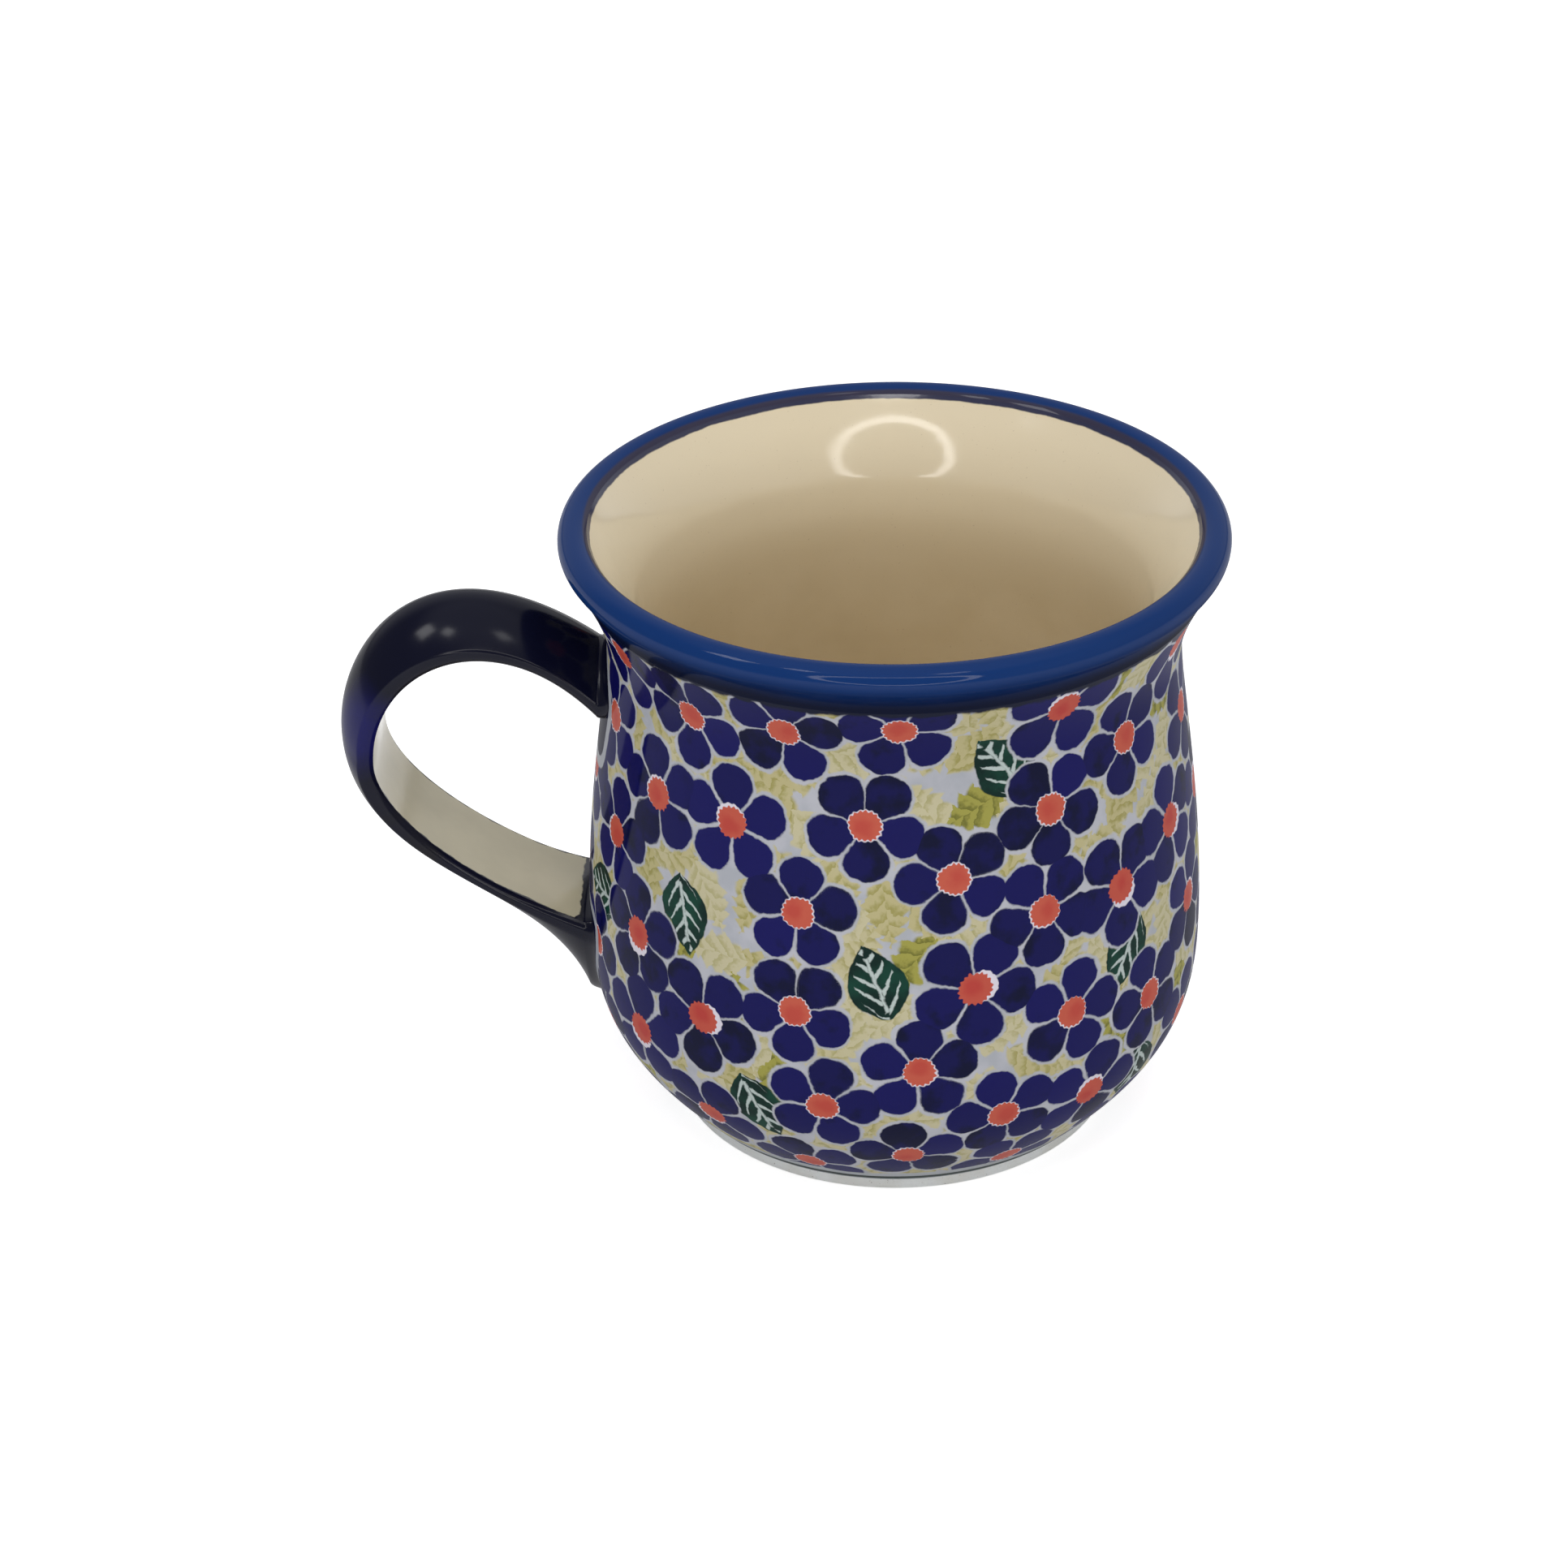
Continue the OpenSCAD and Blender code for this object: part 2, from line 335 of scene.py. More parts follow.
cream_glaze, shader, place = new_finish("cream_glaze", {"IOR": 1.52})
cloud = place.mottle(cloud_scale, 3).rise(0.3, 0.7)
flecks = place.mottle(fleck_scale, 1).rise(0.74, 0.79)
ripple = place.mottle(ripple_scale, 2)
z = place.parts()[2]
throwing = (z * throwing_scale + cloud * throwing_wander).worked("SINE")
# Painted light: the cream turns lighter with height towards the lip, standing in for light falling in at the
# mouth.
creamy = (z / mm + (cloud - 0.5) * painted_lit_uneven).rise(painted_lit_from, painted_lit_to)
creamy = creamy.over(cloud.over(cream_light, cream_deep), cream_painted_lit)
creamy = (flecks * fleck_share).over(creamy, cream_fleck)
run_over = z / mm + (place.mottle(run_scale, 3) - 0.5) * run_uneven
run_over = run_over.rise(lip[-1, 1] - run_from, lip[-1, 1] - run_to)
feed(shader, {"Base Color": run_over.over(creamy, lining_cobalt),
              "Roughness": lining_rough + lining_rougher * cloud,
              "Normal": (throwing * throwing_share + ripple * ripple_share).relief(lining_relief)})
lining_line = evenly(hollow_line, lining_step)
past_ridge = cup_height - lining_line[:, 1] - ridge_depth
ridge = np.where(past_ridge < 0, np.clip(1 + past_ridge / ridge_above, 0, 1),
                 1 - np.sin(math.pi / 2 * np.clip(past_ridge / ridge_below, 0, 1)))
lining_line[:, 0] -= ridge_t * ridge
lining_under = sunk(lining_line, coat)
lining_under[-1, 0] = 0
lining = revolved("lining", np.vstack([lining_line, lining_under[::-1]]), lining_turns)
put_on_mug(lining, cream_glaze, "lining_glaze")


# The glaze in the recess under the cup, the same clear glaze, wiped back from the ring so that the mug
# doesn't stick to the kiln shelf.
base_turns = 144
coat_edge_r = recess_r + recess_draft * coat / foot_recess
base_loop = np.array([[0, foot_recess - coat], [coat_edge_r, foot_recess - coat], [recess_r, foot_recess],
                      [0, foot_recess]])
put_on_mug(revolved("base_coat", base_loop, base_turns), cream_glaze, "base_glaze")


# The lip band, cobalt glaze brushed round the flare and over the bead by hand on a turning wheel. It is thin
# and bright on the bead, and nearly black under the flare, where it gathers and where painted shade darkens
# it.
rim_band = 7.5
band_turns = 256
band_step = 0.35
gather_shade_from = 3.4
gather_shade_to = 0.6
gather_shade_uneven = 1.6
thin_from = 5.5
thin_to = 1.5
thin_uneven = 2.4
worn_from = 0.8
worn_to = 0.35
worn_uneven = 0.5
worn_low = 3
worn_high = 2
gloss_low = 3.2
gloss_high = 1.8
gloss_under = 0.06
gloss_more = 0.22
brush_scale = (60, 60, 420)
band_scale = 380
band_relief = 0.00004
band_rough = 0.1
band_rougher = 0.06
cobalt_bright = (0.0055, 0.034, 0.152, 1)
cobalt_deep = (0.006, 0.018, 0.075, 1)
cobalt_dark = (0.004, 0.007, 0.026, 1)
cobalt_thin = (0.042, 0.040, 0.075, 1)

band_z = cup_height - rim_band
band_start = np.array([np.interp(band_z, wall_line[:, 1], wall_line[:, 0]), band_z])
band_line = evenly(np.vstack([band_start, wall_line[wall_line[:, 1] > band_z], lip[1:]]), band_step)
cobalt_glaze, shader, place = new_finish("cobalt_glaze", {"Specular IOR Level": 0, "Coat Roughness": 0.06})
x, y, z = place.parts()
height = z / mm
brushed = place.node("ShaderNodeMapping", {}, {"Vector": place, "Scale": brush_scale}).mottle(1, 4)
# Partly gathered glaze and partly painted shade: the underside of the flare is darkened towards cobalt_dark.
gathered_and_shaded = (height - band_z + (brushed - 0.5) * gather_shade_uneven).rise(gather_shade_from, gather_shade_to)
thin = (height + (brushed - 0.5) * thin_uneven).rise(cup_height - thin_from, cup_height - thin_to)
worn = (x * x + y * y) ** 0.5 / mm - lip[-1, 0] + (brushed - 0.5) * worn_uneven
worn = worn.rise(worn_from, worn_to) * height.rise(cup_height - worn_low, cup_height - worn_high)
glossy = height.rise(cup_height - gloss_low, cup_height - gloss_high)
cobalt = gathered_and_shaded.over(thin.over(cobalt_deep, cobalt_bright), cobalt_dark)
feed(shader, {"Base Color": worn.over(cobalt, cobalt_thin),
              "Roughness": band_rough + band_rougher * brushed,
              "Coat Weight": gloss_under + gloss_more * glossy,
              "Normal": place.mottle(band_scale, 2).relief(band_relief)})
lip_band = revolved("lip_band", np.vstack([band_line, sunk(band_line, coat)[::-1]]), band_turns)
put_on_mug(lip_band, cobalt_glaze, "rim_glaze")


# The painted belly: white slip under clear glaze, stamped all over with five-petalled blossoms. Brushed pale
# leaves fill the ground between them, and a few dark leaves have their veins scratched through to the white.
strap_top_w = 16.7
strap_low_w = 18.3
joint_spread = 1.6
edge_t = 2.3
neck_joint_drop = 20
neck_joint_h = 8
belly_joint_low = 15.1
belly_joint_h = 15.8
neck_joint = (cup_height - neck_joint_drop - neck_joint_h, cup_height - neck_joint_drop)
belly_joint = (belly_joint_low, belly_joint_low + belly_joint_h)
neck_run = 6.5
neck_side = 0.4
belly_run = 0.6
belly_side = 1.0
run_square = 8
outline_points = 40
paint_turns = 360
paint_step = 0.78
hidden_steps = 24
bake_margin = 0.004
bake_rows = 0.486
bake_hidden = 0.993
bake_hidden_rows = 0.005
seed = 5
tries_each = 90
settle_rounds = 18
settle_share = 0.12
joint_clear = 1.5
far_off = 99
blossom_slots = 3
blossom_count = 96
blossom_low = 7
blossom_high = band_z - 3.5
blossom_least = 12
blossom_apart = 16.8
dark_leaf_count = 20
dark_leaf_low = 16
dark_leaf_high = band_z - 6
dark_leaf_apart = 23
dark_leaf_least = 9.5
dark_leaf_clear = 12
dark_leaf_slack = 2
pale_leaf_slots = 3
pale_leaf_count = 420
pale_leaf_low = 5
pale_leaf_high = band_z - 1
pale_leaf_apart = 5.8
pale_leaf_clear = 6.2
pale_leaf_gap = 4
pale_leaf_sway = 0.45

paint_line = evenly(np.vstack([wall_line[wall_line[:, 1] < band_z], band_start]), paint_step)
paint_back = evenly(sunk(paint_line, coat)[::-1], np.ptp(paint_line[:, 1]) / hidden_steps)
painted = revolved("painted_belly", np.vstack([paint_line, paint_back]), paint_turns)
paint_up = np.gradient(paint_line, axis=0)
paint_up /= np.linalg.norm(paint_up, axis=1)[:, None]
paint_run = np.append(0, np.cumsum(np.linalg.norm(np.diff(paint_line, axis=0), axis=1)))
dice = np.random.default_rng(seed)


def joint_outline(width, grip, crown, run):
    """The outline of the cobalt round a joint, as points across and up. It is domed to the crown, and rounded
    on the grip's side, where the glaze has run along the wall."""
    v = np.linspace(1, -1, outline_points)
    dome = np.column_stack([v * width / 2, edge_t + (abs(crown - grip) - edge_t) * (1 - v * v)])
    ran = np.column_stack([-v * width / 2, -run * np.sqrt(1 - v**run_square)])
    ring = np.vstack([dome, ran])
    return np.column_stack([ring[:, 0], grip + np.sign(crown - grip) * ring[:, 1]])


def wall_radius(height):
    return np.interp(height, wall_line[:, 1], wall_line[:, 0])


def on_wall(across, height):
    """Points on the wall on the handle's side, from their place across and their height."""
    return np.column_stack([-np.sqrt(np.maximum(wall_radius(height)**2 - across**2, 0)), across, height])


neck_outline = joint_outline(strap_top_w + joint_spread + 2 * neck_side, neck_joint[0], neck_joint[1],
                             neck_run)
belly_outline = joint_outline(strap_low_w + joint_spread + 2 * belly_side, belly_joint[1], belly_joint[0],
                              belly_run)


def outside_of(outline, points):
    """How far points lie outside an outline, from their place across and up; negative inside."""
    ends = np.roll(outline, -1, axis=0) - outline
    reach = np.full(len(points), np.inf)
    inside = np.zeros(len(points), bool)
    for a, d in zip(outline, ends):
        t = np.clip((points - a) @ d / (d @ d), 0, 1)
        reach = np.minimum(reach, np.linalg.norm(points - a - t[:, None] * d, axis=1))
        crosses = (a[1] > points[:, 1]) != (a[1] + d[1] > points[:, 1])
        inside ^= crosses & (points[:, 0] < a[0] + d[0] * (points[:, 1] - a[1]) / (d[1] or tiny))
    return np.where(inside, -reach, reach)


def joint_gap(points):
    """How far points on the wall are from the nearer joint of the handle."""
    flat = np.column_stack([points[:, 1], points[:, 2]])
    gap = np.minimum(outside_of(neck_outline, flat), outside_of(belly_outline, flat))
    return np.where(points[:, 0] < 0, gap, far_off)


def placed_at(turns, runs):
    """Points on the belly from their turn about the axis and their run along the outline."""
    radius, height = (np.interp(runs, paint_run, paint_line[:, k]) for k in (0, 1))
    return np.column_stack([radius * np.cos(turns), radius * np.sin(turns), height])


def scatter(most, low, high, apart, clear_of):
    """Random places on the belly, apart from each other and from the points in clear_of."""
    tries = tries_each * most
    turns = dice.uniform(0, 2 * math.pi, tries)
    candidates = placed_at(turns, np.interp(dice.uniform(0, 1, tries), *area_share))
    kept = (candidates[:, 2] > low) & (candidates[:, 2] < high) & (joint_gap(candidates) > joint_clear)
    for others, gap in clear_of:
        kept &= np.linalg.norm(candidates[:, None] - others[None], axis=2).min(1) > gap
    spots = []
    for spot in candidates[kept]:
        if len(spots) < most and all(np.linalg.norm(spot - other) > apart for other in spots):
            spots.append(spot)
    return np.array(spots)


def settle(spots, low, high, apart, clear_of):
    """The same places pushed about until they lie evenly, as a painter spaces them by eye."""
    for _ in range(settle_rounds):
        push = np.zeros_like(spots)
        for others, gap in [(spots, apart)] + clear_of:
            offset = spots[:, None] - others[None]
            reach = np.linalg.norm(offset, axis=2)
            near = (reach > tiny) & (reach < gap)
            direction = offset / np.maximum(reach, tiny)[:, :, None]
            push += (direction * np.where(near, gap - reach, 0)[:, :, None]).sum(1)
        moved = spots + settle_share * push
        heights = np.clip(moved[:, 2], low, high)
        turns = np.arctan2(moved[:, 1], moved[:, 0])
        moved = placed_at(turns, np.interp(heights, paint_line[:, 1], paint_run))
        spots = np.where((joint_gap(moved) > joint_clear)[:, None], moved, spots)
    return spots


def frames_at(spots, angles):
    """The two directions along the wall of a motif's own axes, turned by its angle."""
    turn = np.arctan2(spots[:, 1], spots[:, 0])
    slope = [np.interp(spots[:, 2], paint_line[:, 1], paint_up[:, k]) for k in (0, 1)]
    around = np.column_stack([-np.sin(turn), np.cos(turn), np.zeros(len(turn))])
    rising = np.column_stack([slope[0] * np.cos(turn), slope[0] * np.sin(turn), slope[1]])
    c, s = np.cos(angles)[:, None], np.sin(angles)[:, None]
    return c * around + s * rising, c * rising - s * around


area = np.append(0, np.cumsum((paint_line[1:, 0] + paint_line[:-1, 0]) * np.diff(paint_run)))
area_share = (area / area[-1], paint_run)
dark_leaves = scatter(dark_leaf_count, dark_leaf_low, dark_leaf_high, dark_leaf_apart, [])
blossoms = scatter(blossom_count, blossom_low, blossom_high, blossom_least, [(dark_leaves, dark_leaf_least)])
blossoms = settle(blossoms, blossom_low, blossom_high, blossom_apart, [(dark_leaves, dark_leaf_clear)])
dark_leaf_room = np.linalg.norm(dark_leaves[:, None] - blossoms[None], axis=2).min(1)
dark_leaves = dark_leaves[dark_leaf_room > dark_leaf_clear - dark_leaf_slack]
pale_leaves = scatter(pale_leaf_count, pale_leaf_low, pale_leaf_high, pale_leaf_apart,
                      [(dark_leaves, pale_leaf_gap), (blossoms, pale_leaf_clear)])
blossom_turns = dice.uniform(0, 2 * math.pi, len(blossoms))
dark_turns = dice.uniform(0, 2 * math.pi, len(dark_leaves))
nearest = np.argmin(np.linalg.norm(pale_leaves[:, None] - blossoms[None], axis=2), axis=1)
pale_axes = frames_at(pale_leaves, np.zeros(len(pale_leaves)))
away = pale_leaves - blossoms[nearest]
pale_turns = (np.arctan2((away * pale_axes[1]).sum(1), (away * pale_axes[0]).sum(1)) + math.pi / 2
              + dice.normal(0, pale_leaf_sway, len(pale_leaves)))

paint = painted.data
corner_point = np.empty(len(paint.loops), int)
paint.loops.foreach_get("vertex_index", corner_point)
points = np.empty(3 * len(paint.vertices))
paint.vertices.foreach_get("co", points)
corners = (points.reshape(-1, 3) / mm)[corner_point]
middles = corners.reshape(-1, 4, 3).mean(1)
shown = np.arange(len(middles)) < (len(paint_line) - 1) * paint_turns


def lay_out(name, spots, turns, slots):
    """Stores, at each corner of the belly's faces, the place within the nearest motifs, in millimetres."""
    first, second = frames_at(spots, turns)
    luck = dice.uniform(0, 1, len(spots))
    tree = KDTree(len(spots))
    for i, spot in enumerate(spots):
        tree.insert(spot, i)
    tree.balance()
    order = np.array([[found[1] for found in tree.find_n(middle, slots)] for middle in middles[shown]])
    for slot in range(slots):
        motif = np.repeat(order[:, slot], 4)
        offset = corners.reshape(-1, 4, 3)[shown].reshape(-1, 3) - spots[motif]
        flat = np.column_stack([(offset * first[motif]).sum(1), (offset * second[motif]).sum(1)])
        flat *= (np.linalg.norm(offset, axis=1) / np.maximum(np.linalg.norm(flat, axis=1), tiny))[:, None]
        placed = np.full((len(middles), 4, 3), float(far_off))
        placed[shown] = np.column_stack([flat, luck[motif]]).reshape(-1, 4, 3)
        stored = paint.attributes.new(f"{name}_{slot}", "FLOAT_VECTOR", "CORNER")
        stored.data.foreach_set("vector", placed.astype(np.float32).ravel())


lay_out("blossom", blossoms, blossom_turns, blossom_slots)
lay_out("dark_leaf", dark_leaves, dark_turns, 1)
lay_out("pale_leaf", pale_leaves, pale_turns, pale_leaf_slots)
stored = paint.attributes.new("joint_gap", "FLOAT", "CORNER")
stored.data.foreach_set("value", joint_gap(corners).astype(np.float32))

turn = np.arctan2(corners[:, 1], corners[:, 0]).reshape(-1, 4)
middle_turn = np.arctan2(middles[:, 1], middles[:, 0])
turn = middle_turn[:, None] + (turn - middle_turn[:, None] + math.pi) % (2 * math.pi) - math.pi
row = np.interp(corners[:, 2], paint_line[:, 1], paint_run / paint_run[-1]).reshape(-1, 4)
half_round = (middle_turn > 0)[:, None]
across = np.where(half_round, turn, turn + math.pi) / math.pi
strip = np.where(half_round, 0.5, 0.0)
spread = np.stack([bake_margin + (1 - 2 * bake_margin) * across, strip + bake_margin + bake_rows * row],
                  axis=2)
spread[~shown, :, 1] = bake_hidden + bake_hidden_rows * row[~shown]
paint.uv_layers.new(name="OFBake").uv.foreach_set("vector", spread.astype(np.float32).ravel())

wobble = 0.9
luck_spread = 40
blossom_smallest = 0.93
blossom_growth = 0.14
petals = 5
petal_out = 5.75
petal_wedge = math.radians(34.4)
petal_squash = 0.86
petal_gap = 0.24
petal_plump = 0.2
petal_soft = 0.13
black_luck = 0.3
black_from = 0.48
black_to = 0.26
centre_r = 2.33
centre_soft = 0.09
core_at = (-0.5, 0.3)
core_from = 2.0
core_to = 0.4
core_uneven = 3
core_share = 0.45
core_luck = 0.4
reserve_r = 2.43
reserve_soft = 0.1
reserve_shift = 0.85
reserve_drop = 0.5
reserve_jag = 0.5
teeth = 18
tooth_t = 0.13
leaf_taper_least = 0.1
pale_leaf_l = 5.8
pale_leaf_w = 3.6
pale_leaf_taper = 0.25
pale_leaf_fray = 0.6
pale_leaf_soft = 0.25
stroke_apart = 2.3
stroke_lean = 0.8
stroke_wander = 2.6
stroke_cut = 1.1
stroke_fray = 0.7
stroke_from = 0.35
stroke_share = 0.45
olive_from = 0.88
olive_to = 0.9
clear_from = 0.3
clear_to = 0.65
clear_uneven = 1.2
clear_fray = 0.4
dark_leaf_l = 6.2
dark_leaf_w = 4.2
dark_leaf_taper = 0.3
dark_leaf_soft = 0.14
dark_leaf_from = 0.2
dark_leaf_to = 0.5
vein_apart = 2.8
vein_lean = 0.6
vein_bend = 0.2
vein_t = 0.46
vein_thin = 0.08
vein_off = 0.2
vein_reach = 0.72
vein_fray = 0.5
vein_soft = 0.16
midrib_t = 0.26
midrib_back = 0.4
strip_top = 4.9
strip_soft = 0.2
strip_uneven = 1.2
foot_line_at = 2.9
foot_line_half = 0.575
foot_line_soft = 0.125
foot_line_uneven = 0.25
border_light = 2.5
border_light_soft = 0.2
border_light_uneven = 1.2
border_dark = 0.75
border_dark_soft = 0.15
border_dark_uneven = 0.6
bleed_shade_from = 1.1
bleed_shade_to = 0.5
bleed_shade_uneven = 2.4
shake_scale = 520
wash_scale = 240
bristle_scale = 1500
bristle_share = 0.08
belly_scale = 330
belly_relief = 0.00004
belly_rough = 0.085
belly_rougher = 0.05
slip_white = (0.505, 0.515, 0.565, 1)
slip_shade = (0.42, 0.44, 0.485, 1)
petal_navy = (0.0050, 0.0055, 0.068, 1)
petal_blue = (0.0070, 0.0065, 0.108, 1)
petal_black = (0.0025, 0.0040, 0.030, 1)
centre_coral = (0.575, 0.118, 0.073, 1)
centre_red = (0.47, 0.044, 0.040, 1)
reserve_white = (0.74, 0.70, 0.78, 1)
leaf_green = (0.006, 0.052, 0.034, 1)
leaf_black = (0.003, 0.020, 0.016, 1)
vein_white = (0.50, 0.58, 0.56, 1)
pale_yellow = (0.505, 0.455, 0.235, 1)
pale_cream = (0.565, 0.525, 0.34, 1)
pale_olive = (0.33, 0.30, 0.085, 1)
olive_leaf = (0.36, 0.34, 0.075, 1)
olive_shade = (0.15, 0.15, 0.030, 1)
foot_line_dark = (0.060, 0.078, 0.076, 1)
foot_strip = (0.48, 0.51, 0.54, 1)

painted_glaze, shader, place = new_finish("painted_glaze", {"Specular IOR Level": 0, "Coat Weight": 0.16,
                                                             "Coat Roughness": 0.09})
shake_x, shake_y = [(part - 0.5) * wobble for part in place.mottle(shake_scale, 3, "Color").parts()[:2]]
wash = place.mottle(wash_scale, 3)
bristle = place.mottle(bristle_scale, 2)
uneven = wash - 0.5
frayed = bristle - 0.5
height = place.parts()[2] / mm


def motif(name):
    """The place within a motif, shaken a little as a hand does, and the motif's own random number."""
    spot = place.node("ShaderNodeAttribute", {"attribute_name": name}, {}, "Vector")
    along, across, luck = spot.parts()
    return along + shake_x, across + shake_y, luck


def blossom(slot):
    """Distance outside a blossom's petals, the petal's own random number, and the place in the blossom."""
    along, across, luck = motif(f"blossom_{slot}")
    reach = (along * along + across * across) ** 0.5 / (blossom_smallest + blossom_growth * luck)
    bearing = across.worked("ARCTAN2", along)
    petal_angle = 2 * math.pi / petals
    which = (bearing / petal_angle).worked("ROUND")
    fold = bearing - which * petal_angle
    out = reach * fold.worked("COSINE")
    aside = abs(reach * fold.worked("SINE")) * petal_squash
    petal = place.node("ShaderNodeTexWhiteNoise", {"noise_dimensions": "1D"},
                       {"W": luck * luck_spread + which}, "Value")
    wedge = math.atan(math.tan(petal_wedge) * petal_squash)
    narrow = petal_gap * (petal - petal_plump)
    cap = ((out - petal_out)**2 + aside**2) ** 0.5 - petal_out * math.sin(wedge) + narrow
    side = aside * math.cos(wedge) - out * math.sin(wedge) + narrow
    along_edge = out * math.cos(wedge) + aside * math.sin(wedge)
    inner = along_edge.worked("LESS_THAN", petal_out * math.cos(wedge))
    return cap + inner * (side - cap), petal, along, across, luck, reach, bearing


def nearest_of(rows):
    """The values of the nearest motif, from rows that each start with the distance to a motif's edge."""
    kept = rows[0]
    for row in rows[1:]:
        nearer = row[0].worked("LESS_THAN", kept[0])
        picked = [old + nearer * (new - old) for old, new in zip(kept[1:], row[1:])]
        kept = [kept[0].least(row[0])] + picked
    return kept


blossom_rows = [blossom(slot) for slot in range(blossom_slots)]
petal_edge, petal_luck = nearest_of([row[:2] for row in blossom_rows])
along, across, luck, reach, bearing = blossom_rows[0][2:]
petal_colour = petal_luck.over(petal_navy, petal_blue)
blackened = (wash + (petal_luck - 0.5) * black_luck).rise(black_from, black_to)
petal_colour = blackened.over(petal_colour, petal_black)

jag = (bearing * teeth + luck * luck_spread).worked("SINE") * tooth_t
shift = luck.rise(0.25, 0.9) * reserve_shift
reserve_reach = ((along - shift)**2 + (across - shift * reserve_drop)**2) ** 0.5
reserve = (reserve_reach - jag * reserve_jag).inside(reserve_r, reserve_soft)
centre = (reach - jag).inside(centre_r, centre_soft)
core = ((along - core_at[0])**2 + (across - core_at[1])**2) ** 0.5 + uneven * core_uneven
core = core.rise(core_from, core_to)
centre_colour = (core * core_share + luck * core_luck).over(centre_coral, centre_red)


def pale_leaf(slot):
    """Distance outside a pale leaf, whose edges the brush frays, its random number and its strokes."""
    along, across, luck = motif(f"pale_leaf_{slot}")
    reach = along / pale_leaf_l
    side = abs(across)
    sweep = along - side * stroke_lean + across.worked("SIGN") * stroke_apart / 4
    sweep = sweep + uneven * stroke_wander + frayed
    stroke = sweep.worked("WRAP", stroke_apart, 0) / stroke_apart
    taper = (1 - reach * pale_leaf_taper).most(leaf_taper_least)
    half = (1 - reach * reach) * taper * pale_leaf_w - stroke * stroke_cut + frayed * pale_leaf_fray
    return side - half, luck, stroke


pale_edge, pale_luck, pale_stroke = nearest_of([pale_leaf(slot) for slot in range(pale_leaf_slots)])
is_olive = pale_luck.rise(olive_from, olive_to)
leaf_tone = (pale_luck + uneven).rise(0.15, 0.85).over(pale_cream, pale_yellow)
leaf_tone = is_olive.over(leaf_tone, olive_leaf)
stroke_tone = is_olive.over(pale_olive, olive_shade)
stroked = (pale_stroke + frayed * stroke_fray).rise(stroke_from, 1) * stroke_share * (1 + pale_luck)
clear = petal_edge + uneven * clear_uneven + frayed * clear_fray
pale_inside = pale_edge.inside(0, pale_leaf_soft) * clear.rise(clear_from, clear_to)
colour = wash.rise(0.30, 0.70).over(slip_white, slip_shade)
colour = pale_inside.over(colour, stroked.over(leaf_tone, stroke_tone))

leaf_along, leaf_across = motif("dark_leaf_0")[:2]
leaf_reach = leaf_along / dark_leaf_l
side = abs(leaf_across)
taper = (1 - leaf_reach * dark_leaf_taper).most(leaf_taper_least)
half = (1 - leaf_reach * leaf_reach) * taper * dark_leaf_w
leaf_inside = (side - half).inside(0, dark_leaf_soft) * petal_edge.rise(dark_leaf_from, dark_leaf_to)
sweep = leaf_along - side * vein_lean - side * side * vein_bend
sweep = sweep + leaf_across.worked("SIGN") * vein_apart / 4
vein = abs(sweep.worked("WRAP", vein_apart / 2, -vein_apart / 2)) - vein_t + side * vein_thin
vein = vein.most(side - half * vein_reach).most(vein_off - side)
midrib = (side - midrib_t).most(abs(leaf_along + midrib_back) - dark_leaf_l * vein_reach)
veins = (vein.least(midrib) + frayed * vein_fray).inside(0, vein_soft)
leaf_colour = veins.over(wash.rise(0.35, 0.65).over(leaf_black, leaf_green), vein_white)
colour = leaf_inside.over(colour, leaf_colour)

colour = petal_edge.inside(0, petal_soft).over(colour, petal_colour)
colour = reserve.over(colour, reserve_white)
colour = centre.over(colour, centre_colour)
colour = (height + uneven * strip_uneven).inside(strip_top, strip_soft).over(colour, foot_strip)
foot_line_gap = abs(height - foot_line_at + uneven * foot_line_uneven)
colour = foot_line_gap.inside(foot_line_half, foot_line_soft).over(colour, foot_line_dark)
border = place.node("ShaderNodeAttribute", {"attribute_name": "joint_gap"}, {}, "Fac")
light_border = (border + uneven * border_light_uneven).inside(border_light, border_light_soft)
dark_border = (border + uneven * border_dark_uneven).inside(border_dark, border_dark_soft)
colour = dark_border.over(light_border.over(colour, slip_shade), petal_black)
# Partly cobalt bled down from the band and partly painted shade of the flare's shadow: the top of the belly
# turns to cobalt_dark.
bleed_and_shade = (height + uneven * bleed_shade_uneven).rise(band_z - bleed_shade_from, band_z - bleed_shade_to)
colour = bleed_and_shade.over(colour, cobalt_dark)
feed(shader, {"Base Color": colour,
              "Roughness": belly_rough + belly_rougher * wash,
              "Normal": (place.mottle(belly_scale, 2) + bristle * bristle_share).relief(belly_relief)})
put_on_mug(painted, painted_glaze, "belly_glaze")


# The strap of the handle, pulled from the same clay and bent while soft. Its coats of glaze cover it all
# round, so the solid stays as it is, with the clay's own finish.
strap_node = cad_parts["handle_strap"]
strap_node.data.materials.clear()
strap_node.data.materials.append(bare_clay)


# The cobalt coat on the back of the handle, dipped or brushed so thick that it fires nearly black. It wraps
# both edges of the strap and stops where the grip face starts.
strap_mid_w = 16.8
strap_t = 5.3
edge_round = 0.9
edge_cuts = 2
finger_room = 29.9
bend_height = 56.4
crown_lift = 2.7
grip_rise = 46.3
grip_rise_lead = 23.3
grip_lead_up = 14.6
grip_lead_down = 8.5
grip_fall = 18.7
grip_fall_lead = 15.4
crown_rise = 36.7
crown_rise_lead = 30.3
crown_lead_up = 13.5
crown_lead_down = 20.8
crown_fall = 72.9
crown_fall_lead = 22.5
flare_share = 5 / 22
slip_t = 0.4
seat_looks = 60
rail_steps = 64
dome_steps = 26
grip_points = 13
blue_spot = (-0.077, -0.008, 0.062)
blue_from = 8.5
blue_to = 2
blue_uneven = 14
brown_from = 0.55
brown_to = 0.75
